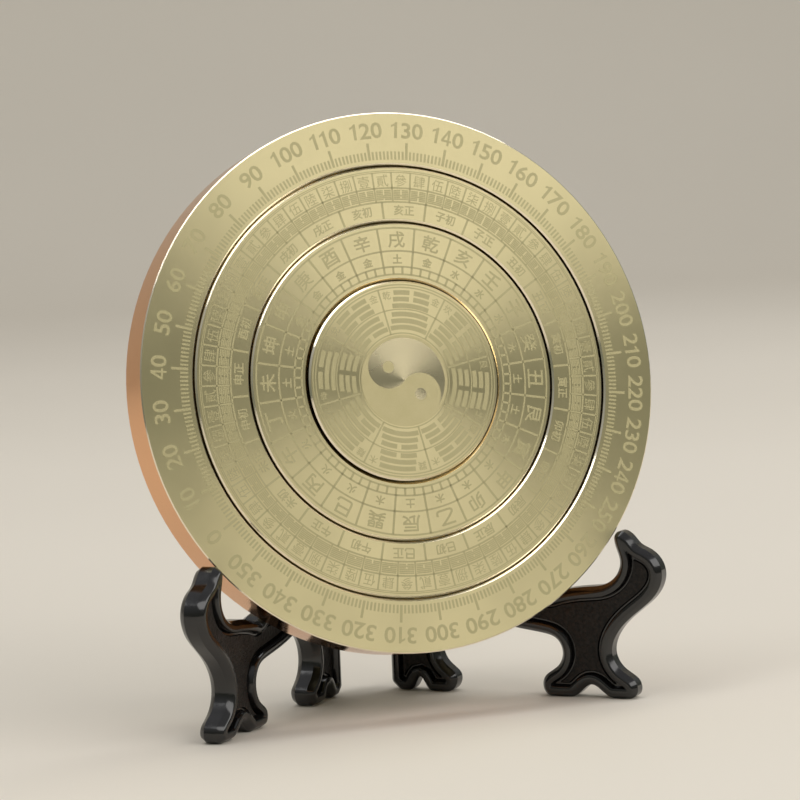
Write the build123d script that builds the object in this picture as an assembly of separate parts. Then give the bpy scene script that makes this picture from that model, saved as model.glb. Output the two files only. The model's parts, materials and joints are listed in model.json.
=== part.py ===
from build123d import *
import math
import os

# Feng shui compass: a solid brass dial of four concentric parts, leaning on a
# folding plate stand of two plastic side frames.
# Axes: +Z up, the dial faces -Y, origin on the ground at the middle of the
# whole object. Millimetres and degrees.

# Compass: outer sizes. The outer ring has a width of its own, and the bands
# inside it keep their proportions, so their bores are shares of the radius.
compass_radius = 50.0
compass_thickness = 10.0
rim_chamfer = 0.2
outer_ring_width = 9.8
hexagram_bore_share = 0.594
mountain_bore_share = 0.376
edge_chamfer = 0.3
ring_gap = 0.35
disc_raise = 0.4

# Flanges that keep the turning rings in
flange_width = 2.0
flange_thickness = 1.5
flange_play = 0.1

# Back plate and its screws
plate_thickness = 3.0
plate_ledge = 3.7
plate_gap = 0.1
screw_count = 6
screw_radius = 0.8
screw_head_radius = 1.6
screw_head_depth = 0.9
screw_length = 5.2
screw_drive_radius = 0.7
screw_drive_depth = 0.5
thread_gap = 0.05
tap_spare = 0.4

# Centre screw and its washer
shoulder_radius = 2.5
shoulder_gap = 0.05
centre_thread_radius = 1.7
centre_thread_length = 3.2
centre_head_radius = 4.6
centre_head_depth = 1.0
centre_drive_radius = 1.8
centre_drive_depth = 0.7
washer_thickness = 0.3
washer_play = 0.05
well_gap = 0.2

# Slip rings
slip_thickness = 0.3
slip_width = 3.2
slip_play = 0.05
slip_to_track = 2.1

# Detent balls and springs
balls_per_ring = 3
ball_radius = 0.75
ball_gap = 0.15
ball_drop = 0.15
track_inset = 3.4
pocket_depth = 2.0
spring_radius = 0.55
spring_wire_radius = 0.11
spring_turns = 3.5
spring_play = 0.04

# How the dial leans, and the seat where its lower back edge rests on a frame
lean = 9.41
seat_reach = 39.7
seat_height = 19.53
rest_gap = 0.3

# Stand frames: reach is measured along a frame from the hinge axis
half_angle = 45.0
frame_thickness = 5.0
frame_gap = 0.6
leg_width = 25.3
arch_height = 15.0
rear_edge_reach = 6.4
rear_foot_width = 13.8
lift_off_height = 120.0

# Hinge knuckles and pins
knuckle_radius = 3.6
knuckle_height = 6.0
knuckle_gap = 0.3
knuckles_per_hinge = 3
web_overlap = 1.0
pin_radius = 1.25
pin_gap = 0.05
pin_floor = 1.5
pin_play = 0.05
pin_chamfer = 0.25
lower_hinge_height = 19.0
upper_hinge_height = 43.0

cut_spare = 1.0

# Outlines of a frame, as shares of the sizes that they follow.
# Leg: share of leg_width ahead of the dial's front edge, share of that edge's height.
hook_tip_share = (0.052, 1.070)
hook_shares = [
    (0.098, 1.113), (0.177, 1.078), (0.237, 1.018), (0.292, 0.994), (0.367, 0.945),
    (0.418, 0.847), (0.383, 0.721), (0.201, 0.567), (0.059, 0.441), (0.007, 0.304),
    (0.079, 0.186), (0.193, 0.103), (0.201, 0.046), (0.130, 0.0),
]
sole_notch_shares = [(0.010, 0.0), (-0.060, 0.030), (-0.166, 0.088), (-0.250, 0.035), (-0.310, 0.0)]
heel_shares = [
    (-0.490, 0.0), (-0.541, 0.035), (-0.541, 0.120), (-0.430, 0.200), (-0.385, 0.300),
    (-0.430, 0.385),
]
knee_share = 0.42
# Arch: share of the way from the leg to the rear foot, share of arch_height.
arch_shares = [(0.133, 0.807), (0.356, 0.860), (0.578, 0.933), (0.778, 0.997), (0.907, 0.967)]
# Rear foot: share of rear_foot_width from its rear edge, share of arch_height.
rear_toe_shares = [
    (0.877, 0.867), (0.760, 0.700), (0.740, 0.533), (0.840, 0.353), (1.0, 0.200), (0.955, 0.050),
    (0.850, 0.0),
]
rear_notch_shares = [(0.600, 0.0), (0.530, 0.060), (0.438, 0.190), (0.350, 0.060), (0.275, 0.0)]
rear_corner_shares = [(0.130, 0.0), (0.0, 0.108)]
# Upright: share of the way from the rear edge to the dial's back, share of
# the height of the dial's centre. Its tip touches the dial's back.
rear_edge_top_share = 0.998
crest_shares = [(0.057, 1.118), (0.242, 1.215), (0.537, 1.265), (0.824, 1.261), (0.921, 1.223)]
tip_height_share = 1.165
stem_shares = [
    (0.969, 1.126), (0.824, 1.109), (0.674, 1.059), (0.581, 0.949), (0.555, 0.805), (0.604, 0.652),
    (0.762, 0.512),
]
# Arm: shares of the seat's reach and height.
arm_shares = [(0.727, 1.197), (0.868, 1.071), (0.961, 1.043)]
# Crook: share of the way from the seat to the dial's front edge, along and up.
crook_shares = [
    (0.311, 0.118), (0.639, 0.174), (0.925, 0.229), (1.138, 0.450), (1.195, 0.737), (1.138, 1.002),
]

# Bores of the three rings
outer_ring_bore = compass_radius - outer_ring_width
hexagram_ring_bore = hexagram_bore_share * compass_radius
mountain_ring_bore = mountain_bore_share * compass_radius

# Depths below the dial's face
plate_depth = compass_thickness - plate_thickness
ring_depth = plate_depth - slip_thickness - 2 * slip_play
flange_depth = ring_depth - flange_thickness
ledge_depth = flange_depth - flange_play
ball_depth = ring_depth + ball_drop
head_depth = compass_thickness - centre_head_depth
washer_depth = head_depth - washer_play - washer_thickness

# Radii of the back plate and its screws
plate_bore = outer_ring_bore + flange_width
plate_radius = plate_bore + plate_ledge
screw_circle = plate_bore + plate_ledge / 2

# The dial's place, from where its back edge meets a frame's inner face.
# Places along Y are counted from the hinge axis until hinge_y is known.
lean_sin, lean_cos = math.sin(math.radians(lean)), math.cos(math.radians(lean))
half_sin, half_cos = math.sin(math.radians(half_angle)), math.cos(math.radians(half_angle))
half_gap = frame_gap / 2
seat_side = seat_reach * half_sin + half_gap * half_cos
seat_drop = math.sqrt(compass_radius**2 - seat_side**2)
back_y = -seat_reach * half_cos + half_gap * half_sin + seat_drop * lean_sin
back_z = seat_height + rest_gap + seat_drop * lean_cos
face_y = back_y - compass_thickness * lean_cos
face_z = back_z + compass_thickness * lean_sin

# The dial's front edge crosses the frame's inner face this far down the dial
# from its centre. The hook's tip stands just ahead of that point.
slope = half_cos / half_sin
offset_y = half_gap / half_sin - face_y
edge_drop = (
    math.sqrt((slope * compass_radius) ** 2 * (slope**2 + lean_sin**2) - (slope * offset_y) ** 2)
    - offset_y * lean_sin
) / (slope**2 + lean_sin**2)
edge_side = math.sqrt(compass_radius**2 - edge_drop**2)
edge_reach = (edge_side - half_gap * half_cos) / half_sin
edge_height = face_z - edge_drop * lean_cos - rest_gap


def back_reach(height):
    """Reach at which a frame's inner face is just behind the dial's back, at this height."""
    y = back_y + (height - back_z) * lean_sin / lean_cos
    return (half_gap * half_sin - y - rest_gap) / half_cos


upright_tip_height = tip_height_share * face_z
upright_span = back_reach(upright_tip_height) - rear_edge_reach

# The origin is halfway between the knees and the hinge's knuckles
knee_reach = edge_reach + knee_share * leg_width
hinge_y = (knee_reach * half_cos - half_gap * half_sin - knuckle_radius) / 2
dial_plane = Plane(
    origin=(0, hinge_y + face_y, face_z), x_dir=(1, 0, 0), z_dir=(0, -lean_cos, lean_sin)
)


def turned(section):
    """Solid of revolution about the dial's axis, from (radius, depth below the face) corners."""
    corners = [(radius, 0, -depth) for radius, depth in section]
    return revolve(make_face(Polyline(*corners, close=True)), Axis.Z)


def drilled(radius, from_depth, to_depth):
    """Cutter or pin along the dial's axis, between two depths."""
    return Pos(0, 0, -to_depth) * Cylinder(
        radius, to_depth - from_depth, align=(Align.CENTER, Align.CENTER, Align.MIN)
    )


def around(circle, count, solid):
    """Copies of a solid, spaced evenly on a circle about the dial's axis."""
    return [place * solid for place in PolarLocations(circle, count)]


def track_radius(bore):
    """Radius of the ball track under the part that turns in this bore."""
    return bore - ring_gap + flange_width - track_inset


def ball_track(bore):
    """Round groove in a turning part's underside, in which its balls run."""
    return Pos(0, 0, -ball_depth) * Torus(track_radius(bore), ball_radius + ball_gap)


def make_outer_ring():
    ring = turned([
        (outer_ring_bore + edge_chamfer, 0),
        (compass_radius - rim_chamfer, 0),
        (compass_radius, rim_chamfer),
        (compass_radius, compass_thickness - rim_chamfer),
        (compass_radius - rim_chamfer, compass_thickness),
        (plate_radius + plate_gap, compass_thickness),
        (plate_radius + plate_gap, plate_depth),
        (plate_bore, plate_depth),
        (plate_bore, ledge_depth),
        (outer_ring_bore, ledge_depth),
        (outer_ring_bore, edge_chamfer),
    ])
    hole_end = compass_thickness - screw_length - tap_spare
    hole = drilled(screw_radius + thread_gap, hole_end, compass_thickness)
    for cutter in around(screw_circle, screw_count, hole):
        ring -= cutter
    return ring


def make_turning_ring(outer_bore, bore):
    """Ring that turns in outer_bore, with a flange behind its neighbour and a bore of its own."""
    radius = outer_bore - ring_gap
    ring = turned([
        (bore + edge_chamfer, 0),
        (radius - edge_chamfer, 0),
        (radius, edge_chamfer),
        (radius, flange_depth),
        (radius + flange_width, flange_depth),
        (radius + flange_width, ring_depth),
        (bore + flange_width, ring_depth),
        (bore + flange_width, ledge_depth),
        (bore, ledge_depth),
        (bore, edge_chamfer),
    ])
    return ring - ball_track(outer_bore)


def make_centre_disc():
    radius = mountain_ring_bore - ring_gap
    disc = turned([
        (0, -disc_raise),
        (radius - edge_chamfer, -disc_raise),
        (radius, edge_chamfer - disc_raise),
        (radius, flange_depth),
        (radius + flange_width, flange_depth),
        (radius + flange_width, ring_depth),
        (0, ring_depth),
    ])
    hole_end = ring_depth - centre_thread_length - tap_spare
    disc -= drilled(centre_thread_radius + thread_gap, hole_end, ring_depth + cut_spare)
    return disc - ball_track(mountain_ring_bore)


def make_back_plate():
    plate = drilled(plate_radius, plate_depth, compass_thickness)
    plate -= drilled(shoulder_radius + shoulder_gap, plate_depth - cut_spare, compass_thickness)
    plate -= drilled(centre_head_radius + well_gap, washer_depth, compass_thickness + cut_spare)
    pocket = drilled(ball_radius + ball_gap, plate_depth - cut_spare, plate_depth + pocket_depth)
    for bore in (outer_ring_bore, hexagram_ring_bore, mountain_ring_bore):
        for cutter in around(track_radius(bore), balls_per_ring, pocket):
            plate -= cutter
    sink = make_plate_screw(plate_gap)
    for cutter in around(screw_circle, screw_count, sink):
        plate -= cutter
    return plate


def make_plate_screw(gap=0):
    """Countersunk screw on the dial's axis, or with a gap the cutter for its hole in the plate."""
    neck = screw_radius + gap
    head = screw_head_radius + gap
    return turned([
        (0, compass_thickness),
        (head, compass_thickness),
        (neck, compass_thickness - screw_head_depth),
        (neck, compass_thickness - screw_length),
        (0, compass_thickness - screw_length),
    ])


def hex_socket(radius, depth):
    """Cutter for a hexagonal socket in a screw's head, open at the compass's back."""
    socket = extrude(RegularPolygon(radius, 6), depth + cut_spare)
    return Pos(0, 0, -compass_thickness - cut_spare) * socket


def make_centre_screw():
    screw = turned([
        (0, ring_depth - centre_thread_length),
        (centre_thread_radius, ring_depth - centre_thread_length),
        (centre_thread_radius, ring_depth),
        (shoulder_radius, ring_depth),
        (shoulder_radius, head_depth),
        (centre_head_radius, head_depth),
        (centre_head_radius, compass_thickness),
        (0, compass_thickness),
    ])
    return screw - hex_socket(centre_drive_radius, centre_drive_depth)


def make_washer():
    washer = drilled(centre_head_radius, washer_depth, washer_depth + washer_thickness)
    return washer - drilled(shoulder_radius + shoulder_gap, washer_depth - cut_spare, compass_thickness)


def make_slip_ring(outer_bore):
    radius = track_radius(outer_bore) - slip_to_track
    top = ring_depth + slip_play
    ring = drilled(radius, top, top + slip_thickness)
    return ring - drilled(radius - slip_width, top - cut_spare, top + slip_thickness + cut_spare)


def make_balls(bore):
    ball = Pos(0, 0, -ball_depth) * Sphere(ball_radius)
    return Compound(around(track_radius(bore), balls_per_ring, ball))


def make_springs(bore):
    """Coil springs that stand on the pockets' floors and reach up to the balls."""
    touch = ball_radius + spring_wire_radius + spring_play
    top = ball_depth + math.sqrt(touch**2 - spring_radius**2)
    bottom = plate_depth + pocket_depth - spring_wire_radius - spring_play
    path = Helix(pitch=(bottom - top) / spring_turns, height=bottom - top, radius=spring_radius)
    wire = Plane(path @ 0, z_dir=path % 0) * Circle(spring_wire_radius)
    spring = Pos(0, 0, -bottom) * sweep(wire, path=path)
    return Compound(around(track_radius(bore), balls_per_ring, spring))


def frame_outline():
    """Outline of a side frame, with X along its reach and Y up."""

    def leg(shares):
        return [(edge_reach + ahead * leg_width, up * edge_height) for ahead, up in shares]

    def rear(shares):
        return [
            (rear_edge_reach + along * rear_foot_width, up * arch_height) for along, up in shares
        ]

    def upright(shares):
        return [(rear_edge_reach + along * upright_span, up * face_z) for along, up in shares]

    heel, rear_toe = leg(heel_shares), rear(rear_toe_shares)
    arch_start, arch_end = heel[-1][0], rear_toe[0][0]
    arch = [
        (arch_start + way * (arch_end - arch_start), up * arch_height) for way, up in arch_shares
    ]
    crook_span, crook_rise = edge_reach - seat_reach, edge_height - seat_height
    crook = [
        (seat_reach + way * crook_span, seat_height + up * crook_rise) for way, up in crook_shares
    ]
    arm = [(along * seat_reach, up * seat_height) for along, up in arm_shares]
    (hook_tip,) = leg([hook_tip_share])
    dial_touch = (rear_edge_reach + upright_span, upright_tip_height)
    rear_top = (rear_edge_reach, rear_edge_top_share * face_z)
    curves = [
        [hook_tip, *leg(hook_shares)],
        leg(sole_notch_shares),
        [*heel, *arch, *rear_toe],
        rear(rear_notch_shares),
        rear(rear_corner_shares),
        [rear_top, *upright(crest_shares), dial_touch, *upright(stem_shares), *arm,
         (seat_reach, seat_height)],
        [(seat_reach, seat_height), *crook, hook_tip],
    ]
    edges = []
    for curve, following in zip(curves, curves[1:] + curves[:1]):
        edges.append(Line(*curve) if len(curve) == 2 else Spline(*curve))
        if curve[-1] != following[0]:
            edges.append(Line(curve[-1], following[0]))
    return Face(Wire(edges))


def knuckle_base(hinge_height, index):
    return hinge_height + index * (knuckle_height + knuckle_gap)


def make_folded_frame(knuckles):
    """Side frame as it lies when the stand is folded, on the +X side of the hinge axis."""
    side = Plane(origin=(half_gap, 0, 0), x_dir=(0, -1, 0), z_dir=(-1, 0, 0))
    frame = extrude(side * frame_outline(), frame_thickness, dir=(1, 0, 0))
    web_reach = rear_edge_reach + web_overlap
    for hinge_height, indexes in knuckles:
        for index in indexes:
            base = knuckle_base(hinge_height, index)
            barrel = Cylinder(
                knuckle_radius, knuckle_height, align=(Align.CENTER, Align.CENTER, Align.MIN)
            )
            web = Pos(half_gap, 0, 0) * Box(
                knuckle_radius - half_gap, web_reach, knuckle_height,
                align=(Align.MIN, Align.MAX, Align.MIN),
            )
            frame += Pos(0, 0, base) * (barrel + web)
    for hinge_height, indexes in knuckles:
        for index in indexes:
            base = knuckle_base(hinge_height, index)
            floor = pin_floor if index == 0 else -cut_spare
            frame -= Pos(0, 0, base + floor) * Cylinder(
                pin_radius + pin_gap, knuckle_height - floor + cut_spare,
                align=(Align.CENTER, Align.CENTER, Align.MIN),
            )
    return frame


def make_right_frame():
    frame = make_folded_frame([(lower_hinge_height, (0, 2)), (upper_hinge_height, (1,))])
    return Pos(0, hinge_y, 0) * Rot(0, 0, half_angle) * frame


def make_left_frame():
    frame = make_folded_frame([(lower_hinge_height, (1,)), (upper_hinge_height, (0, 2))])
    return Pos(0, hinge_y, 0) * Rot(0, 0, -half_angle) * mirror(frame, about=Plane.YZ)


def make_hinge_pin(hinge_height):
    """Pin that stands on the blind floor of its hinge's lowest knuckle."""
    low = hinge_height + pin_floor + pin_play
    high = knuckle_base(hinge_height, knuckles_per_hinge) - knuckle_gap
    pin = Pos(0, hinge_y, low) * Cylinder(
        pin_radius, high - low, align=(Align.CENTER, Align.CENTER, Align.MIN)
    )
    return chamfer(pin.edges().filter_by(GeomType.CIRCLE), pin_chamfer)


def on_dial(solid):
    return dial_plane.location * solid


def main():
    plate_screw = make_plate_screw() - hex_socket(screw_drive_radius, screw_drive_depth)
    dial_nodes = {
        "outer_dial_ring": make_outer_ring(),
        "hexagram_ring": make_turning_ring(outer_ring_bore, hexagram_ring_bore),
        "mountain_ring": make_turning_ring(hexagram_ring_bore, mountain_ring_bore),
        "trigram_disc": make_centre_disc(),
        "back_plate": make_back_plate(),
        "back_plate_screws": Compound(around(screw_circle, screw_count, plate_screw)),
        "centre_screw": make_centre_screw(),
        "centre_washer": make_washer(),
        "outer_slip_ring": make_slip_ring(outer_ring_bore),
        "middle_slip_ring": make_slip_ring(hexagram_ring_bore),
        "inner_slip_ring": make_slip_ring(mountain_ring_bore),
        "hexagram_detent_balls": make_balls(outer_ring_bore),
        "mountain_detent_balls": make_balls(hexagram_ring_bore),
        "trigram_detent_balls": make_balls(mountain_ring_bore),
        "hexagram_detent_springs": make_springs(outer_ring_bore),
        "mountain_detent_springs": make_springs(hexagram_ring_bore),
        "trigram_detent_springs": make_springs(mountain_ring_bore),
    }
    nodes = {name: on_dial(solid) for name, solid in dial_nodes.items()}
    nodes["right_stand_frame"] = make_right_frame()
    nodes["left_stand_frame"] = make_left_frame()
    nodes["lower_hinge_pin"] = make_hinge_pin(lower_hinge_height)
    nodes["upper_hinge_pin"] = make_hinge_pin(upper_hinge_height)

    os.makedirs("parts", exist_ok=True)
    for name, solid in nodes.items():
        export_step(solid, f"parts/{name}.step")
    print("dial centre on its face:", 0, hinge_y + face_y, face_z)
    print("dial axis:", 0, -lean_cos, lean_sin)
    print("hinge axis at y:", hinge_y)
    print("fold for each millimetre of lift, degrees:", half_angle / lift_off_height)


main()
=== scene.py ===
import json
import math
from collections import Counter

import bpy
import numpy as np
from mathutils import Matrix, Vector
from mathutils.geometry import delaunay_2d_cdt


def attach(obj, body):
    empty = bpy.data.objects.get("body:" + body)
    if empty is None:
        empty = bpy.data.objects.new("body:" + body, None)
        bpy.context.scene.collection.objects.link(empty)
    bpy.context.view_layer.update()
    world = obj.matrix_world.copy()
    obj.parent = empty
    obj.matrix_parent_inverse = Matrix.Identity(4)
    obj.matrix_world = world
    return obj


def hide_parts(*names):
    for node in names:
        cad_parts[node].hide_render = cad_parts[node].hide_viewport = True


# Feng shui compass of brass on a folding stand of black plastic.
# Lengths are in millimetres and angles in degrees, unless a comment says otherwise.
# The dial's marks are worked out in its own plane, with angles clockwise from the
# top as the dial is seen from the front.
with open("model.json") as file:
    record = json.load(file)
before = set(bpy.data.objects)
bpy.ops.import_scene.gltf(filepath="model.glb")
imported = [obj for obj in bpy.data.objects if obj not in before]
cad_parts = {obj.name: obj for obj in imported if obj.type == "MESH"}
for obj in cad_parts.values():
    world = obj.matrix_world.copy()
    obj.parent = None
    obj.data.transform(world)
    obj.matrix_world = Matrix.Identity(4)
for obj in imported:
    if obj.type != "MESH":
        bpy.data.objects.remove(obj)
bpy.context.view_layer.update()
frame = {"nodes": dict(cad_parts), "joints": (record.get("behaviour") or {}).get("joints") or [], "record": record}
mm = 0.001

# The dial's place, from the joint that its centre disc turns on
joints = {joint["name"]: joint for joint in frame["joints"]}
dial_centre = Vector(joints["trigram_disc_turn"]["pos_m"])
face_normal = Vector(joints["trigram_disc_turn"]["axis"])
face_right = Vector((1, 0, 0))
face_up = face_normal.cross(face_right)
dial_turn = Matrix((face_right, face_up, face_normal)).transposed()
dial_matrix = Matrix.Translation(dial_centre) @ dial_turn.to_4x4()

# Camera, fitted to the dial's edge and the stand's feet in the photograph: its place in metres
camera_place = dial_centre + Vector((-0.19442, -0.51413, 0.04128))
camera_pan = 20.626
camera_tilt = -4.66
camera_roll = -2.23
camera_lens = 135
sensor_width = 36

# How far each part of the dial is turned: the place of its north, or of its zero
degree_turn = -123.44
hexagram_turn = 35.9
mountain_turn = 62.62
trigram_turn = 55.7

# Marks stand this much proud of the face, and reach this deep into it
mark_rise = 0.02
mark_sink = 0.03
inlay_rise = 0.03
dot_rise = 0.045
ring_steps = 240
bar_step = 4

# Words: points closer than this are merged and smaller triangles left out, with the letter size as 1
merge_distance = 1e-4
least_triangle = 1e-8
curve_steps = 3
# Blender's number for a triangulation that ends at the outline
inside_only = 1

# Outer ring: degree scale
degree_count = 360
degrees_per_number = 10
scale_foot = 41.15
short_tick_top = 42.68
long_tick_top = 44.35
short_tick_width = 0.36
long_tick_width = 0.48
number_radius = 46.65
number_height = 3.0
number_weight = 0.016
digit_stretch = 1.13
digit_pitch_share = 0.76
one_pitch_share = 0.66

# Digits drawn here: points as shares of number_height, and their faces
one_shares = (
    (0.13, -0.5), (0.13, 0.5), (0.03, 0.5), (-0.07, 0.39), (-0.27, 0.29), (-0.27, 0.16),
    (-0.05, 0.27), (-0.05, -0.5),
)
one_faces = ((0, 1, 2, 3, 6, 7), (3, 4, 5, 6))
four_shares = (
    (0.06, -0.5), (0.20, -0.5), (0.20, -0.28), (0.33, -0.28), (0.33, -0.15), (0.20, -0.15),
    (0.20, 0.5), (0.04, 0.5), (-0.33, -0.15), (-0.33, -0.28), (0.06, -0.28), (-0.17, -0.15),
    (0.06, -0.15), (0.06, 0.26),
)
four_faces = (
    (0, 1, 2, 10), (2, 3, 4, 5), (10, 2, 5, 12), (12, 5, 6, 13), (13, 6, 7), (8, 11, 13, 7),
    (9, 10, 12, 11, 8),
)

# The dial's wall takes on a warmer, orange colour between these radii, in metres: a painted reflection of red
# surroundings on the brass
painted_reflection_start = 0.0492
painted_reflection_end = 0.0495

# Nearly all values of a shader's noise lie between these
noise_range = (0.3, 0.7)

# Second ring: cells, hexagrams and half double-hours
hexagram_count = 64
cell_edge_radii = (39.05, 38.75)
cell_top = 38.75
cell_foot = 35.85
cell_label_radius = 37.25
cell_label_height = 2.25
hexagram_top = 35.5
hexagram_line_pitch = 0.325
hexagram_line_width = 0.255
hexagram_half_width = 1.45
hexagram_break = 0.14
hour_band_top = 33.25
hour_band_foot = 30.1
hour_label_radius = 31.7
hour_label_height = 2.0
line_width = 0.4
thin_line = 0.32
disc_line = 0.7 * thin_line
hair_line = thin_line / 2

# How much bolder than the plain typeface each kind of word is, as shares of the letter size
character_weight = 0.016
small_character_weight = 0.034
hour_weight = 0.022
numeral_weight = 0.0
sector_label_weight = 0.006
# The strokes of this character run into each other when they are bolder
weight_limits = {"庚": 0.010}

# Third ring: the twenty-four compass points and their elements
point_count = 24
point_band_top = 28.4
point_band_foot = 24.1
point_label_radius = 26.2
point_label_height = 3.05
point_label_stretch = 1.08
element_band_foot = 21.15
element_label_radius = 22.6
element_label_height = 1.75
window_foot = 19.75
windows_per_point = 3

# Centre disc: eight sectors with two trigrams each, and the yin-yang figure
sector_count = 8
disc_edge_radii = (17.75, 17.25)
outer_trigram_top = 16.75
middle_radius = 13.2
inner_trigram_top = 12.75
trigram_pitch = 1.22
trigram_line_width = 0.86
trigram_half_width = 3.55
trigram_break = 0.42
inner_circle = 8.78
sector_label_radius = 15.95
sector_label_offset = 17.6
sector_label_height = 1.55
yin_radius = 8.45
yang_radius = 7.9
yin_yang_turn = -47.5
yin_dot_radius = 1.1
circle_steps = 120
dot_steps = 48
back_arc_steps = 80
lobe_steps = 40

# Words, clockwise from north
points_of_compass = "子癸丑艮寅甲卯乙辰巽巳丙午丁未坤申庚酉辛戌乾亥壬"
elements_of_points = "水水土土木木木木土木火火火火土土金金金金土金水水"
double_hours = "子丑寅卯辰巳午未申酉戌亥"
hour_halves = "初正"
numerals = "壹貳參肆伍陸柒捌"

# Trigrams as their lines from the bottom, 1 for a whole line, clockwise from north
early_trigrams = ("000", "100", "101", "110", "111", "011", "010", "001")
later_trigrams = ("010", "001", "100", "011", "101", "000", "110", "111")
trigram_names = "坎艮震巽離坤兌乾"
trigram_elements = "水土木木火土金金"


def polar(radius, angle):
    """Point in the dial's plane."""
    turn = math.radians(angle)
    return radius * math.sin(turn), radius * math.cos(turn)


def material(name):
    """New material with nothing but a Principled shader: the material, its node tree and the shader."""
    made = bpy.data.materials.new(name)
    made.use_nodes = True
    tree = made.node_tree
    tree.nodes.clear()
    output = tree.nodes.new("ShaderNodeOutputMaterial")
    shader = tree.nodes.new("ShaderNodeBsdfPrincipled")
    tree.links.new(shader.outputs["BSDF"], output.inputs["Surface"])
    return made, tree, shader


def feed(tree, socket, value):
    """Set an input to a value, or link it to another node's output."""
    if isinstance(value, bpy.types.NodeSocket):
        tree.links.new(value, socket)
    else:
        socket.default_value = value


def feed_all(tree, shader, inputs):
    """Feed the inputs of a shader, given by their names."""
    for name, value in inputs.items():
        feed(tree, shader.inputs[name], value)


def add_node(tree, kind, settings=(), **inputs):
    """Shader node with its settings, and inputs that are values or another node's output.

    An input is given by its name, or as i and its number where several share a name.
    """
    made = tree.nodes.new("ShaderNode" + kind)
    for key, value in dict(settings).items():
        setattr(made, key, value)
    for key, value in inputs.items():
        feed(tree, made.inputs[int(key[1:]) if key[1:].isdigit() else key], value)
    return made


def vector_math(tree, operation, **inputs):
    """Outputs of a node that works on vectors."""
    return add_node(tree, "VectorMath", {"operation": operation}, **inputs).outputs


def number_math(tree, operation, *values):
    """Result of a node that works on numbers."""
    inputs = {f"i{i}": value for i, value in enumerate(values)}
    return add_node(tree, "Math", {"operation": operation}, **inputs).outputs[0]


def object_place(tree):
    """Place of the shaded point in its object, in metres."""
    return add_node(tree, "TexCoord").outputs["Object"]


def noise(tree, place, scale, detail=2.0, roughness=0.5):
    """Noise with its grain as a number of waves per metre."""
    made = add_node(tree, "TexNoise", Vector=place, Scale=scale, Detail=detail, Roughness=roughness)
    return made.outputs["Fac"]


def ranged(tree, value, low, high, to_low=0.0, to_high=1.0):
    """Value from low..high mapped to to_low..to_high."""
    made = add_node(tree, "MapRange", i0=value, i1=low, i2=high, i3=to_low, i4=to_high)
    return made.outputs["Result"]


def spread(tree, grain, low, high):
    """Noise spread over low..high."""
    return ranged(tree, grain, *noise_range, low, high)


def mixed(tree, share, first, second):
    """Colour between two colours."""
    made = add_node(tree, "Mix", {"data_type": "RGBA"}, i0=share, i6=first, i7=second)
    return made.outputs[2]


def bumped(tree, height, strength, distance, normal=None):
    """Normal tilted by a height, with the full height as a distance in metres."""
    inputs = {"Height": height, "Strength": strength, "Distance": distance}
    if normal is not None:
        inputs["Normal"] = normal
    return add_node(tree, "Bump", **inputs).outputs["Normal"]


def turned_vectors(tree):
    """Place, radial direction in the world, distance from the dial's axis, and facing along it."""
    coords = add_node(tree, "TexCoord").outputs
    offset = vector_math(tree, "SUBTRACT", i0=coords["Object"], i1=dial_centre)[0]
    along = vector_math(tree, "DOT_PRODUCT", i0=offset, i1=face_normal)["Value"]
    axial = vector_math(tree, "SCALE", i0=face_normal, Scale=along)[0]
    radial = vector_math(tree, "SUBTRACT", i0=offset, i1=axial)[0]
    unit = vector_math(tree, "NORMALIZE", i0=radial)[0]
    to_world = {"vector_type": "VECTOR", "convert_from": "OBJECT", "convert_to": "WORLD"}
    world = add_node(tree, "VectorTransform", to_world, Vector=unit).outputs[0]
    radius = vector_math(tree, "LENGTH", i0=radial)["Value"]
    facing = vector_math(tree, "DOT_PRODUCT", i0=coords["Normal"], i1=face_normal)["Value"]
    return coords["Object"], world, radius, number_math(tree, "ABSOLUTE", facing)


def make_brass(name, face_roughness, face_colour):
    """Satin brass turned on a lathe: fine rings about the dial's axis, polished rim and chamfers, and on the
    dial's outer wall a painted reflection of red surroundings.
    """
    # The outer wall's orange is a painted reflection of red surroundings, far warmer than the brass itself
    painted_reflection_colour = (0.80, 0.36, 0.11, 1)
    wall_colour = (0.84, 0.66, 0.36, 1)
    chamfer_colour = (0.94, 0.86, 0.68, 1)
    shade = 0.93
    dark_colour = tuple(shade * part for part in face_colour[:3]) + (1,)
    # How squarely a surface looks along the axis, where wall turns into chamfer and chamfer into face
    wall_to_chamfer, chamfer_to_face = (0.15, 0.6), (0.85, 0.97)
    patch_range = (0.35, 0.65)
    roughness_spread, chamfer_polish, least_roughness = 0.02, 0.14, 0.12
    made, tree, shader = material(name)
    place, radial, radius, facing = turned_vectors(tree)
    patches = noise(tree, place, scale=60.0, detail=3.0)
    grain = noise(tree, place, scale=5200.0, detail=1.0)
    rings = add_node(
        tree, "TexNoise", {"noise_dimensions": "1D"}, W=radius, Scale=9000.0, Detail=2.0
    ).outputs["Fac"]
    face = mixed(tree, ranged(tree, patches, *patch_range), dark_colour, face_colour)
    # Painted reflection: the outer wall between these radii turns to the orange reflection colour
    wall = mixed(tree, ranged(tree, radius, painted_reflection_start, painted_reflection_end), wall_colour, painted_reflection_colour)
    chamfer = mixed(tree, ranged(tree, facing, *wall_to_chamfer), wall, chamfer_colour)
    on_face = ranged(tree, facing, *chamfer_to_face)
    smooth, rough = face_roughness - roughness_spread, face_roughness + roughness_spread
    polish = ranged(tree, on_face, 0.0, 1.0, chamfer_polish, 1.0)
    satin = number_math(tree, "MULTIPLY", spread(tree, patches, smooth, rough), polish)
    turned = bumped(tree, rings, strength=0.12, distance=2e-5)
    feed_all(tree, shader, {
        "Base Color": mixed(tree, on_face, chamfer, face),
        "Roughness": number_math(tree, "MAXIMUM", satin, least_roughness),
        "Normal": bumped(tree, grain, strength=0.25, distance=2e-5, normal=turned),
        "Tangent": radial,
        "Metallic": 1.0,
        "Anisotropic": 0.85,
    })
    return made


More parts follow.
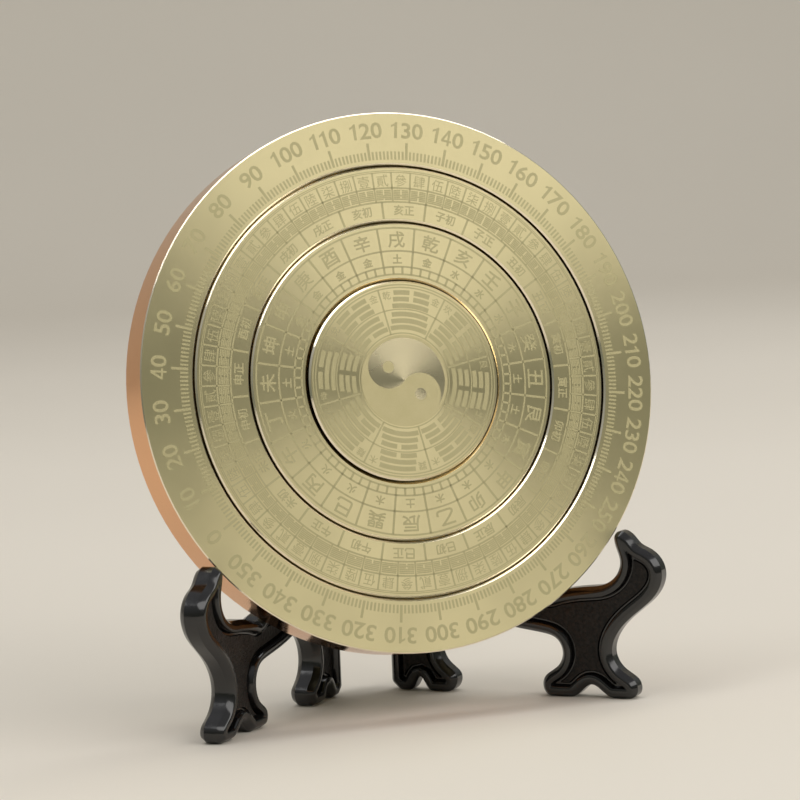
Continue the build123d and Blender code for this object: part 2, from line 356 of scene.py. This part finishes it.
def make_matte_brass(name, dark, light):
    """Bare matte brass, as at the bottom of the etched marks."""
    made, tree, shader = material(name)
    place = object_place(tree)
    grain = noise(tree, place, scale=9000.0)
    patches = noise(tree, place, scale=300.0, detail=3.0)
    feed_all(tree, shader, {
        "Base Color": mixed(tree, patches, dark, light),
        "Roughness": spread(tree, grain, low=0.52, high=0.66),
        "Normal": bumped(tree, grain, strength=0.35, distance=3e-5),
        "Metallic": 1.0,
    })
    return made


def make_steel():
    """Bright steel with a fine grain and faint stains."""
    dark, light = (0.48, 0.48, 0.49, 1), (0.66, 0.66, 0.65, 1)
    made, tree, shader = material("screw_steel")
    place = object_place(tree)
    grain = noise(tree, place, scale=4000.0, detail=3.0)
    stain = noise(tree, place, scale=700.0)
    feed_all(tree, shader, {
        "Base Color": mixed(tree, stain, dark, light),
        "Roughness": spread(tree, grain, low=0.24, high=0.36),
        "Normal": bumped(tree, grain, strength=0.15, distance=2e-5),
        "Metallic": 1.0,
    })
    return made


def make_slip_plastic():
    """Off-white plastic of the slip rings, a little cloudy."""
    dark, light = (0.74, 0.73, 0.69, 1), (0.82, 0.81, 0.77, 1)
    made, tree, shader = material("white_slip_plastic")
    cloud = noise(tree, object_place(tree), scale=500.0, detail=3.0)
    feed_all(tree, shader, {
        "Base Color": mixed(tree, cloud, dark, light),
        "Roughness": spread(tree, cloud, low=0.42, high=0.55),
        "Normal": bumped(tree, cloud, strength=0.1, distance=2e-5),
    })
    return made


def make_stand_gloss():
    """Black moulded plastic of the stand's borders and edges."""
    dark, light = (0.003, 0.003, 0.003, 1), (0.007, 0.006, 0.006, 1)
    made, tree, shader = material("stand_gloss")
    place = object_place(tree)
    ripple = noise(tree, place, scale=260.0)
    speckle = noise(tree, place, scale=3000.0)
    rippled = bumped(tree, ripple, strength=0.3, distance=2e-4)
    feed_all(tree, shader, {
        "Base Color": mixed(tree, ripple, dark, light),
        "Roughness": spread(tree, ripple, low=0.11, high=0.2),
        "Normal": bumped(tree, speckle, strength=0.1, distance=3e-5, normal=rippled),
        "IOR": 1.6,
    })
    return made


def make_stand_panel():
    """The same plastic where the mould was spark-eroded, in the sunken panels."""
    dark, light = (0.003, 0.0025, 0.002, 1), (0.017, 0.0125, 0.010, 1)
    stipple_range = (0.38, 0.62)
    made, tree, shader = material("stand_panel")
    place = object_place(tree)
    stipple = noise(tree, place, scale=1500.0, detail=3.0, roughness=0.6)
    stipple = ranged(tree, stipple, *stipple_range)
    patches = noise(tree, place, scale=420.0)
    feed_all(tree, shader, {
        "Base Color": mixed(tree, stipple, dark, light),
        "Roughness": spread(tree, patches, low=0.36, high=0.5),
        "Normal": bumped(tree, stipple, strength=0.8, distance=1.2e-4),
        "Specular IOR Level": 0.3,
    })
    return made


def make_floor_material():
    """Warm off-white studio paper."""
    dark, light = (0.82, 0.76, 0.66, 1), (0.86, 0.80, 0.70, 1)
    made, tree, shader = material("pale_floor")
    cloud = noise(tree, object_place(tree), scale=3.0, detail=3.0)
    feed_all(tree, shader, {
        "Base Color": mixed(tree, cloud, dark, light),
        "Roughness": spread(tree, cloud, low=0.6, high=0.7),
    })
    return made


def new_piece(name, points, faces, materials, matrix=None, smooth_angle=None):
    """Mesh object in metres from points in millimetres, placed by a matrix if one is given."""
    mesh = bpy.data.meshes.new(name)
    mesh.from_pydata([Vector(point) * mm for point in points], [], faces)
    if matrix is not None:
        mesh.transform(matrix)
    for each in materials:
        mesh.materials.append(each)
    if smooth_angle is not None:
        mesh.polygons.foreach_set("use_smooth", [True] * len(mesh.polygons))
        mesh.set_sharp_from_angle(angle=math.radians(smooth_angle))
    mesh.update()
    piece = bpy.data.objects.new(name, mesh)
    bpy.context.scene.collection.objects.link(piece)
    return piece


def rim_of(faces):
    """Directed edges of a sheet of faces that no neighbour shares, so that walls there close it."""
    uses = Counter((a, b) for face in faces for a, b in zip(face, face[1:] + face[:1]))
    return [(a, b) for (a, b), times in uses.items() for _ in range(times - uses[b, a])]


def filled_word(text, weight):
    """Flat mesh of a word centred on the origin: points, triangles and its height."""
    curve = bpy.data.curves.new("lettering", "FONT")
    curve.body = text
    curve.offset = weight
    curve.resolution_u = curve_steps
    holder = bpy.data.objects.new("lettering", curve)
    bpy.context.scene.collection.objects.link(holder)
    bpy.context.view_layer.update()
    mesh = bpy.data.meshes.new_from_object(holder)
    points = [vertex.co.xy for vertex in mesh.vertices]
    faces = [tuple(polygon.vertices) for polygon in mesh.polygons if polygon.area > least_triangle]
    # Strokes that run into each other are merged, so that no triangles overlap
    points, _, merged, _, _, sources = delaunay_2d_cdt(
        points, [], faces, inside_only, merge_distance
    )
    faces = [tuple(face) for face, source in zip(merged, sources) if source]
    bpy.data.objects.remove(holder)
    bpy.data.curves.remove(curve)
    bpy.data.meshes.remove(mesh)
    points = np.array([tuple(point) for point in points])
    low, high = points.min(0), points.max(0)
    return points - (low + high) / 2, faces, high[1] - low[1]


lettering_cache = {}


def lettering(text, weight=character_weight):
    """The word's flat mesh, made once for each weight."""
    weight = min(weight, weight_limits.get(text, weight))
    if (text, weight) not in lettering_cache:
        lettering_cache[text, weight] = filled_word(text, weight)
    return lettering_cache[text, weight]


def digit_shape(digit):
    """Points and faces of a digit one unit high, and the width of its place in a number."""
    if digit == "1":
        return np.array(one_shares), one_faces, one_pitch_share
    if digit == "4":
        return np.array(four_shares), four_faces, digit_pitch_share
    flat, faces, height = lettering(digit, number_weight)
    return flat / height * (digit_stretch, 1), faces, digit_pitch_share


def number_shape(number):
    """Broad plain numerals set side by side, centred on the origin."""
    points, faces, reach = [], [], 0
    for digit in str(number):
        flat, digit_faces, pitch = digit_shape(digit)
        faces += [tuple(len(points) + i for i in face) for face in digit_faces]
        points += [(x + reach + pitch / 2, y) for x, y in flat]
        reach += pitch
    return np.array(points) - (reach / 2, 0), faces, 1


class Marks:
    """Thin closed slabs on one face of the dial, gathered for one mesh."""

    def __init__(self, face_height, turn):
        self.face_height = face_height
        self.turn = turn
        self.points = []
        self.faces = []

    def slab(self, flat, faces, rise=mark_rise):
        """Sheet of faces made solid."""
        start, count = len(self.points), len(flat)
        top, bottom = self.face_height + rise, self.face_height - mark_sink
        self.points += [(x, y, top) for x, y in flat]
        self.points += [(x, y, bottom) for x, y in flat]
        for face in faces:
            self.faces.append([start + i for i in face])
            self.faces.append([start + count + i for i in reversed(face)])
        for a, b in rim_of(faces):
            self.faces.append([start + count + a, start + count + b, start + b, start + a])

    def polygon(self, outline, rise=mark_rise):
        """One face within an outline, made solid."""
        self.slab(outline, [tuple(range(len(outline)))], rise)

    def bar(self, inner, outer, from_angle, to_angle):
        """Bar along an arc, or between two radii where it is narrow."""
        steps = max(1, math.ceil((to_angle - from_angle) / bar_step))
        angles = [from_angle + (to_angle - from_angle) * i / steps for i in range(steps + 1)]
        flat = [polar(inner, self.turn + angle) for angle in angles]
        flat += [polar(outer, self.turn + angle) for angle in angles]
        row = steps + 1
        self.slab(flat, [(i, i + 1, row + i + 1, row + i) for i in range(steps)])

    def ring(self, radius, width, steps=ring_steps):
        """Line round the whole dial."""
        flat = [polar(radius - width / 2, 360 * i / steps) for i in range(steps)]
        flat += [polar(radius + width / 2, 360 * i / steps) for i in range(steps)]
        self.slab(flat, [
            (i, (i + 1) % steps, steps + (i + 1) % steps, steps + i) for i in range(steps)
        ])

    def tick(self, inner, outer, angle, width):
        """Line of even width along a radius."""
        across = Vector(polar(width / 2, self.turn + angle + 90))
        near, far = Vector(polar(inner, self.turn + angle)), Vector(polar(outer, self.turn + angle))
        corners = [near - across, near + across, far + across, far - across]
        self.slab([tuple(corner) for corner in corners], [(0, 1, 2, 3)])

    def word(self, shape, radius, angle, height, stretch=1):
        """Word or number that stands on a circle about the dial's centre, tops outward."""
        flat, faces, own_height = shape
        scale = height / own_height
        turn = math.radians(self.turn + angle)
        across = np.array([math.cos(turn), -math.sin(turn)])
        outward = np.array([math.sin(turn), math.cos(turn)])
        placed = flat[:, :1] * scale * stretch * across + (flat[:, 1:] * scale + radius) * outward
        self.slab([tuple(point) for point in placed], faces)

    def lines(self, bits, top, pitch, width, half_width, gap, angle):
        """Trigram or hexagram: its lines, given from the bottom one, start at the outer radius."""
        for step, whole in enumerate(bits):
            outer = top - step * pitch
            inner = outer - width
            half = math.degrees(half_width / (inner + width / 2))
            notch = math.degrees(gap / (inner + width / 2))
            if whole == "1":
                self.bar(inner, outer, angle - half, angle + half)
            else:
                self.bar(inner, outer, angle - half, angle - notch)
                self.bar(inner, outer, angle + notch, angle + half)

    def piece(self, name, body, finish):
        """All the marks as one mesh that rides on a body of the dial."""
        made = new_piece(name, self.points, self.faces, [finish], dial_matrix)
        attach(made, body)


def face_height(node):
    """Height of a CAD node's face over the dial's own plane, in millimetres."""
    vertices = frame["nodes"][node].data.vertices
    return max((vertex.co - dial_centre).dot(face_normal) for vertex in vertices) / mm


def mark_outer_ring(finish):
    """Degree ticks, with a number at every tenth."""
    marks = Marks(face_height("outer_dial_ring"), degree_turn)
    for degree in range(degree_count):
        if degree % degrees_per_number:
            marks.tick(scale_foot, short_tick_top, degree, short_tick_width)
        else:
            marks.tick(scale_foot, long_tick_top, degree, long_tick_width)
            marks.word(number_shape(degree), number_radius, degree, number_height)
    marks.piece("degree_scale", "compass", finish)


def hexagram_bits(index):
    """Lines from the bottom of each hexagram, in the old round order from north."""
    half = hexagram_count // 2
    value = half + index if index < half else hexagram_count - 1 - index
    return format(value, "06b")


def mark_hexagram_ring(finish):
    """Sixty-four cells with a numeral and a hexagram each, over the halves of the double hours."""
    marks = Marks(face_height("hexagram_ring"), hexagram_turn)
    pitch = 360 / hexagram_count
    for radius in cell_edge_radii:
        marks.ring(radius, hair_line)
    for radius in (cell_foot, hour_band_top):
        marks.ring(radius, thin_line)
    for index in range(hexagram_count):
        angle = (index + 0.5) * pitch
        marks.tick(hour_band_top, cell_top, index * pitch, thin_line)
        label = lettering(numerals[index % len(numerals)], numeral_weight)
        marks.word(label, cell_label_radius, angle, cell_label_height)
        marks.lines(
            hexagram_bits(index), hexagram_top, hexagram_line_pitch, hexagram_line_width,
            hexagram_half_width, hexagram_break, angle,
        )
    hour_pitch = 360 / point_count
    for index in range(point_count):
        marks.tick(hour_band_foot, hour_band_top, (index + 0.5) * hour_pitch, line_width)
        hour = double_hours[(index + 1) // 2 % len(double_hours)]
        half = hour_halves[(index + 1) % len(hour_halves)]
        label = lettering(hour + half, hour_weight)
        marks.word(label, hour_label_radius, index * hour_pitch, hour_label_height)
    marks.piece("hexagram_scale", "hexagram_ring", finish)


def mark_mountain_ring(finish):
    """The compass points, each with its element and three small windows."""
    marks = Marks(face_height("mountain_ring"), mountain_turn)
    pitch = 360 / point_count
    for radius in (point_band_top, point_band_foot, element_band_foot, window_foot):
        marks.ring(radius, thin_line)
    for index in range(point_count):
        angle = index * pitch
        marks.tick(element_band_foot, point_band_top, angle - pitch / 2, line_width)
        marks.word(
            lettering(points_of_compass[index]), point_label_radius, angle, point_label_height,
            point_label_stretch,
        )
        element = lettering(elements_of_points[index], small_character_weight)
        marks.word(element, element_label_radius, angle, element_label_height)
        for window in range(windows_per_point):
            edge = angle + (window / windows_per_point - 0.5) * pitch
            marks.tick(window_foot, element_band_foot, edge, line_width)
    marks.piece("compass_point_scale", "mountain_ring", finish)


def mark_trigram_disc(finish):
    """Sectors with an early and a later trigram, and the later one's name and element."""
    marks = Marks(face_height("trigram_disc"), trigram_turn)
    pitch = 360 / sector_count
    for radius in (*disc_edge_radii, middle_radius, inner_circle):
        marks.ring(radius, disc_line)
    for index in range(sector_count):
        angle = index * pitch
        marks.tick(inner_circle, disc_edge_radii[1], angle + pitch / 2, thin_line)
        early, later = early_trigrams[index], later_trigrams[index]
        for bits, top in ((early, outer_trigram_top), (later, inner_trigram_top)):
            marks.lines(
                bits, top, trigram_pitch, trigram_line_width, trigram_half_width, trigram_break, angle
            )
        for label, side in ((trigram_names[index], -1), (trigram_elements[index], 1)):
            place = angle + side * sector_label_offset
            shape = lettering(label, sector_label_weight)
            marks.word(shape, sector_label_radius, place, sector_label_height)
    marks.piece("trigram_scale", "trigram_disc", finish)


def arc_points(centre, radius, from_angle, to_angle, steps):
    """Points along an arc, without its last one."""
    x, y = centre
    angles = [from_angle + (to_angle - from_angle) * i / steps for i in range(steps)]
    return [(x + polar(radius, a)[0], y + polar(radius, a)[1]) for a in angles]


def disc_points(centre, radius, steps):
    """Points round a circle, in the order that makes its face look outward."""
    return arc_points(centre, radius, 360, 0, steps)


def mark_yin_yang(matte, polished):
    """The figure at the centre: one half matte, the other turned bright, a dot in each."""
    height = face_height("trigram_disc")
    lobe = yang_radius / 2
    head, tail = yin_yang_turn, yin_yang_turn + 180
    head_place, tail_place = polar(lobe, head), polar(lobe, tail)
    field = Marks(height, 0)
    field.polygon(disc_points((0, 0), yin_radius, circle_steps))
    field.polygon(disc_points(head_place, yin_dot_radius, dot_steps), dot_rise)
    field.piece("yin_half", "trigram_disc", matte)
    outline = arc_points((0, 0), yang_radius, tail, head, back_arc_steps)
    outline += arc_points(head_place, lobe, head, head - 180, lobe_steps)
    outline += arc_points(tail_place, lobe, tail + 180, tail + 360, lobe_steps)
    bright = Marks(height, 0)
    bright.polygon(outline, inlay_rise)
    bright.polygon(disc_points(tail_place, yin_dot_radius, dot_steps), inlay_rise)
    bright.piece("yang_half", "trigram_disc", polished)


# Stand frames, with their hinge and its barrels
hinge_place = Vector(joints["right_frame_fold"]["pos_m"]) / mm
half_angle = 45.0
half_gap = 0.3
frame_thickness = 5.0
outline_step = 0.3
fine_outline_step = outline_step / 3
outline_softness = 0.35
# The bell curve that softens the outline ends at this many of its widths
bell_reach = 3
frame_smooth_angle = 28
# Distance from the frame's edge, and depth below its flat face
border_profile = (
    (0.0, 1.25), (0.7, 0.2), (0.9, 0.05), (1.15, 0.0), (1.75, 0.0), (1.95, 0.08), (2.1, 0.35),
    (2.2, 1.0), (2.35, 1.35), (2.6, 1.35), (2.8, 0.95),
)
panel_margin = 0.05
knuckle_radius = 3.6
knuckle_height = 6.0
knuckle_gap = 0.3
knuckle_chamfer = 0.35
knuckle_sides = 40
pin_bore = 1.3
pin_floor = 1.5
closed_bore = 0.02
bore_wall = 0.25
web_reach = 7.4
web_inset = 0.1
lower_hinge_height = 19.0
upper_hinge_height = 43.0
# For each hinge its foot's height, and which of its three knuckles the frame carries
right_knuckles = ((lower_hinge_height, (0, 2)), (upper_hinge_height, (1,)))
left_knuckles = ((lower_hinge_height, (1,)), (upper_hinge_height, (0, 2)))

# Points nearer than this count as one, or as on the same plane
tolerance = 0.01
loop_digits = 3
block_size = 500

# Floor and backdrop
floor_half_width = 3000
floor_front = -3000
floor_back = 1500
backdrop_radius = 700
backdrop_height = 2200
backdrop_steps = 16
floor_smooth_angle = 60


def closed_loop(mesh, to_plane):
    """Outline of a frame's flat outer face, as points in the frame's plane."""
    flat = np.array([to_plane @ vertex.co for vertex in mesh.vertices]) / mm
    top = flat[:, 2].max()
    on_face = flat[:, 2] > top - tolerance
    lookup, index_of = {}, {}
    for i in np.flatnonzero(on_face):
        key = (round(float(flat[i, 0]), loop_digits), round(float(flat[i, 1]), loop_digits))
        index_of[int(i)] = lookup.setdefault(key, len(lookup))
    faces = [
        tuple(index_of[i] for i in polygon.vertices)
        for polygon in mesh.polygons if all(i in index_of for i in polygon.vertices)
    ]
    following = dict(rim_of(faces))
    start = next(iter(following))
    loop, here = [start], following[start]
    while here != start:
        loop.append(here)
        here = following[here]
    points = np.array(list(lookup))
    return points[loop]


def resampled(loop, step):
    """Closed loop with evenly spaced points."""
    closed = np.vstack([loop, loop[:1]])
    lengths = np.r_[0, np.cumsum(np.linalg.norm(np.diff(closed, axis=0), axis=1))]
    count = int(round(lengths[-1] / step))
    at = np.arange(count) * lengths[-1] / count
    return np.column_stack([np.interp(at, lengths, closed[:, axis]) for axis in (0, 1)])


def softened(loop, step, width):
    """Closed loop with its facets and corners smoothed by a bell curve of a width."""
    side = int(bell_reach * width / step)
    reach = np.arange(-side, side + 1)
    weights = np.exp(-0.5 * (reach * step / width) ** 2)
    weights /= weights.sum()
    return sum(weight * np.roll(loop, shift, axis=0) for weight, shift in zip(weights, reach))


def edge_distance(points, loop):
    """Distance of each point from a closed loop, worked out in blocks to spare memory."""
    along = np.roll(loop, -1, axis=0) - loop
    lengths = (along**2).sum(1)
    best = np.full(len(points), np.inf)
    for block in np.array_split(np.arange(len(points)), max(1, len(points) // block_size)):
        offset = points[block][:, None, :] - loop[None]
        share = np.clip((offset * along).sum(2) / lengths, 0, 1)
        gap = offset - share[..., None] * along
        best[block] = np.sqrt((gap**2).sum(2).min(1))
    return best


def panelled_face(loop):
    """Sheet of triangles over a frame's outline, and each point's distance from its edge."""
    ahead, behind = np.roll(loop, -1, axis=0), np.roll(loop, 1, axis=0)
    along = ahead - behind
    inward = np.column_stack([-along[:, 1], along[:, 0]])
    inward /= np.linalg.norm(inward, axis=1)[:, None]
    points = [tuple(point) for point in loop]
    count = len(loop)
    edges = [(i, (i + 1) % count) for i in range(count)]
    for distance, _ in border_profile[1:]:
        offset = loop + inward * distance
        kept = edge_distance(offset, loop) > distance - tolerance
        number = {}
        for i in np.flatnonzero(kept):
            number[int(i)] = len(points)
            points.append(tuple(offset[i]))
        for i in number:
            if (i + 1) % count in number:
                edges.append((number[i], number[(i + 1) % count]))
    corners = [Vector(point) for point in points]
    flat, _, faces, _, _, _ = delaunay_2d_cdt(corners, edges, [], inside_only, merge_distance)
    flat = np.array([tuple(point) for point in flat])
    return flat, [tuple(face) for face in faces], edge_distance(flat, loop)


def frame_plate(loop):
    """Closed plate with bevelled edges, and a grooved and sunken panel on both faces."""
    flat, faces, gaps = panelled_face(loop)
    depths = np.interp(gaps, *zip(*border_profile))
    count = len(flat)
    outer, inner = half_gap + frame_thickness, half_gap
    points = [(x, y, outer - depth) for (x, y), depth in zip(flat, depths)]
    points += [(x, y, inner + depth) for (x, y), depth in zip(flat, depths)]
    walls = [(count + a, count + b, b, a) for a, b in rim_of(faces)]
    backs = [tuple(count + i for i in reversed(face)) for face in faces]
    panel_edge = border_profile[-1][0] - panel_margin
    panel = [all(gaps[i] > panel_edge for i in face) for face in faces]
    return points, faces + backs + walls, panel + panel + [False] * len(walls)


def lathe(profile):
    """Closed solid turned about the hinge axis, from (radius, height) corners of a closed profile."""
    sides = knuckle_sides
    points = [
        (radius * math.cos(math.tau * i / sides), height, radius * math.sin(math.tau * i / sides))
        for i in range(sides) for radius, height in profile
    ]
    rows = len(profile)
    faces = [
        (i * rows + j, i * rows + (j + 1) % rows, (i + 1) % sides * rows + (j + 1) % rows,
         (i + 1) % sides * rows + j)
        for i in range(sides) for j in range(rows)
    ]
    return points, faces


def knuckle(base, blind):
    """Barrel round the hinge pin, closed at the bottom where the pin stands in it."""
    top, edge, rim = base + knuckle_height, knuckle_chamfer, knuckle_radius
    outside = [(rim - edge, base), (rim, base + edge), (rim, top - edge), (rim - edge, top)]
    if blind:
        floor = base + pin_floor
        inside = [(pin_bore, top), (pin_bore, floor), (closed_bore, floor), (closed_bore, base)]
    else:
        inside = [(pin_bore, top), (pin_bore, base)]
    return lathe(outside + inside)


def web(base):
    """Rib that joins a knuckle to its frame and stays clear of the pin's bore."""
    low, high, clear = half_gap, knuckle_radius, pin_bore + bore_wall
    section = (
        (web_reach, low), (web_reach, high), (0.0, high), (0.0, clear), (clear, clear), (clear, low),
    )
    levels = (base + web_inset, base + knuckle_height - web_inset)
    points = [(x, y, z) for y in levels for x, z in section]
    count = len(section)
    sides = [(i, count + i, count + (i + 1) % count, (i + 1) % count) for i in range(count)]
    return points, [tuple(range(count)), tuple(reversed(range(count, 2 * count)))] + sides


def make_stand_frame(side, knuckles, gloss, panel):
    """Right frame for side 1, left for -1, made in its plane: X along its reach, Y up, Z outward."""
    turn = math.radians(half_angle)
    reach = Vector((side * math.sin(turn), -math.cos(turn), 0))
    out = Vector((side * math.cos(turn), math.sin(turn), 0))
    up = Vector((0, 0, 1))
    hinge_foot = Vector((hinge_place.x, hinge_place.y, 0)) * mm
    to_world = Matrix.Translation(hinge_foot) @ Matrix((reach, up, out)).transposed().to_4x4()
    name = "right" if side > 0 else "left"
    node = frame["nodes"][name + "_stand_frame"]
    loop = closed_loop(node.data, to_world.inverted())
    area = (loop[:, 0] * np.roll(loop[:, 1], -1) - loop[:, 1] * np.roll(loop[:, 0], -1)).sum()
    loop = loop if area > 0 else loop[::-1]
    loop = softened(resampled(loop, fine_outline_step), fine_outline_step, outline_softness)
    loop = resampled(loop, outline_step)
    points, faces, is_panel = frame_plate(loop)
    for hinge_height, indexes in knuckles:
        for index in indexes:
            base = hinge_height + index * (knuckle_height + knuckle_gap)
            for more_points, more_faces in (knuckle(base, index == 0), web(base)):
                start = len(points)
                points += more_points
                faces += [tuple(start + i for i in face) for face in more_faces]
                is_panel += [False] * len(more_faces)
    finishes = [gloss, panel]
    made = new_piece(
        name + "_frame_moulding", points, faces, finishes, to_world, frame_smooth_angle
    )
    made.data.polygons.foreach_set("material_index", [int(each) for each in is_panel])
    if side > 0:
        made.data.flip_normals()
    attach(made, name + "_frame")
    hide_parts(name + "_stand_frame")


def finish_cad_nodes(finishes):
    """Each CAD node gets its finish from the slot that the record gives it."""
    for subpart in frame["record"]["subparts"]:
        node = frame["nodes"][subpart["node"]]
        finish = finishes.get(subpart["material_slot"])
        if finish is not None:
            for slot in node.material_slots:
                slot.material = finish


def make_floor(finish):
    """Seamless pale floor that curves up behind the object."""
    profile = [(floor_front, 0.0), (0.0, 0.0), (floor_back, 0.0)]
    for step in range(1, backdrop_steps + 1):
        turn = math.radians(90 * step / backdrop_steps)
        height = backdrop_radius * (1 - math.cos(turn))
        profile.append((floor_back + backdrop_radius * math.sin(turn), height))
    profile.append((floor_back + backdrop_radius, backdrop_height))
    points = [(x, y, z) for y, z in profile for x in (-floor_half_width, floor_half_width)]
    faces = [(2 * i, 2 * i + 1, 2 * i + 3, 2 * i + 2) for i in range(len(profile) - 1)]
    new_piece("floor", points, faces, [finish], None, floor_smooth_angle)


def add_lamp(name, place, target, size, power, colour, along):
    """Softbox that faces a target, with its length along a direction: metres and watts."""
    data = bpy.data.lights.new(name, "AREA")
    data.shape = "RECTANGLE"
    data.size, data.size_y = size
    data.energy = power
    data.color = colour
    lamp = bpy.data.objects.new(name, data)
    back = (Vector(place) - Vector(target)).normalized()
    length = Vector(along)
    length = (length - back * length.dot(back)).normalized()
    turn = Matrix((length, back.cross(length), back)).transposed().to_4x4()
    lamp.matrix_world = Matrix.Translation(place) @ turn
    bpy.context.scene.collection.objects.link(lamp)


def light_scene():
    """A broad softbox in front to the right, a long strip overhead and a dim studio sky."""
    middle = (0, 0, 0.06)
    warm_white, white = (1.0, 0.98, 0.95), (1.0, 1.0, 1.0)
    add_lamp(
        "front_softbox", place=(1.0, -0.99, 0.925), target=middle, size=(2.45, 0.7), power=13,
        colour=warm_white, along=(1.8, 1.58, -0.55),
    )
    add_lamp(
        "top_strip", place=(-0.05, 0.12, 1.35), target=middle, size=(3.2, 0.4), power=10,
        colour=white, along=(0.93, 0.36, 0),
    )
    low_sky, high_sky = (0.17, 0.18, 0.148, 1), (0.45, 0.45, 0.46, 1)
    sky_range = (0.1, 0.7)
    world = bpy.data.worlds.new("studio")
    world.use_nodes = True
    tree = world.node_tree
    direction = add_node(tree, "TexCoord").outputs["Generated"]
    height = add_node(tree, "SeparateXYZ", Vector=direction).outputs["Z"]
    colour = mixed(tree, ranged(tree, height, *sky_range), low_sky, high_sky)
    tree.links.new(colour, tree.nodes["Background"].inputs["Color"])
    bpy.context.scene.world = world


def add_camera():
    """Camera turned by its pan, tilt and roll from a level look along +Y."""
    pan, tilt, roll = (math.radians(angle) for angle in (camera_pan, camera_tilt, camera_roll))
    look = Vector((math.sin(pan) * math.cos(tilt), math.cos(pan) * math.cos(tilt), math.sin(tilt)))
    level_right = look.cross(Vector((0, 0, 1))).normalized()
    level_up = level_right.cross(look)
    right = math.cos(roll) * level_right + math.sin(roll) * level_up
    up = right.cross(look)
    data = bpy.data.cameras.new("camera")
    data.lens = camera_lens
    data.sensor_width = sensor_width
    camera = bpy.data.objects.new("camera", data)
    turn = Matrix((right, up, -look)).transposed().to_4x4()
    camera.matrix_world = Matrix.Translation(camera_place) @ turn
    bpy.context.scene.collection.objects.link(camera)
    bpy.context.scene.camera = camera


def main():
    """Finishes, marks, stand, studio and camera."""
    brass = make_brass(
        "turned_brass", face_roughness=0.36, face_colour=(0.68, 0.60, 0.345, 1)
    )
    polished = make_brass(
        "polished_brass", face_roughness=0.27, face_colour=(0.74, 0.65, 0.42, 1)
    )
    etched = make_matte_brass(
        "etched_brass", dark=(0.50, 0.455, 0.255, 1), light=(0.56, 0.505, 0.30, 1)
    )
    matte = make_matte_brass(
        "matte_brass", dark=(0.56, 0.50, 0.28, 1), light=(0.64, 0.57, 0.34, 1)
    )
    finish_cad_nodes({
        "brass": brass,
        "steel": make_steel(),
        "slip_plastic": make_slip_plastic(),
    })
    mark_outer_ring(etched)
    mark_hexagram_ring(etched)
    mark_mountain_ring(etched)
    mark_trigram_disc(etched)
    mark_yin_yang(matte, polished)
    gloss, panel = make_stand_gloss(), make_stand_panel()
    make_stand_frame(1, right_knuckles, gloss, panel)
    make_stand_frame(-1, left_knuckles, gloss, panel)
    make_floor(make_floor_material())
    light_scene()
    add_camera()
    bpy.context.scene.view_settings.view_transform = "Standard"


main()
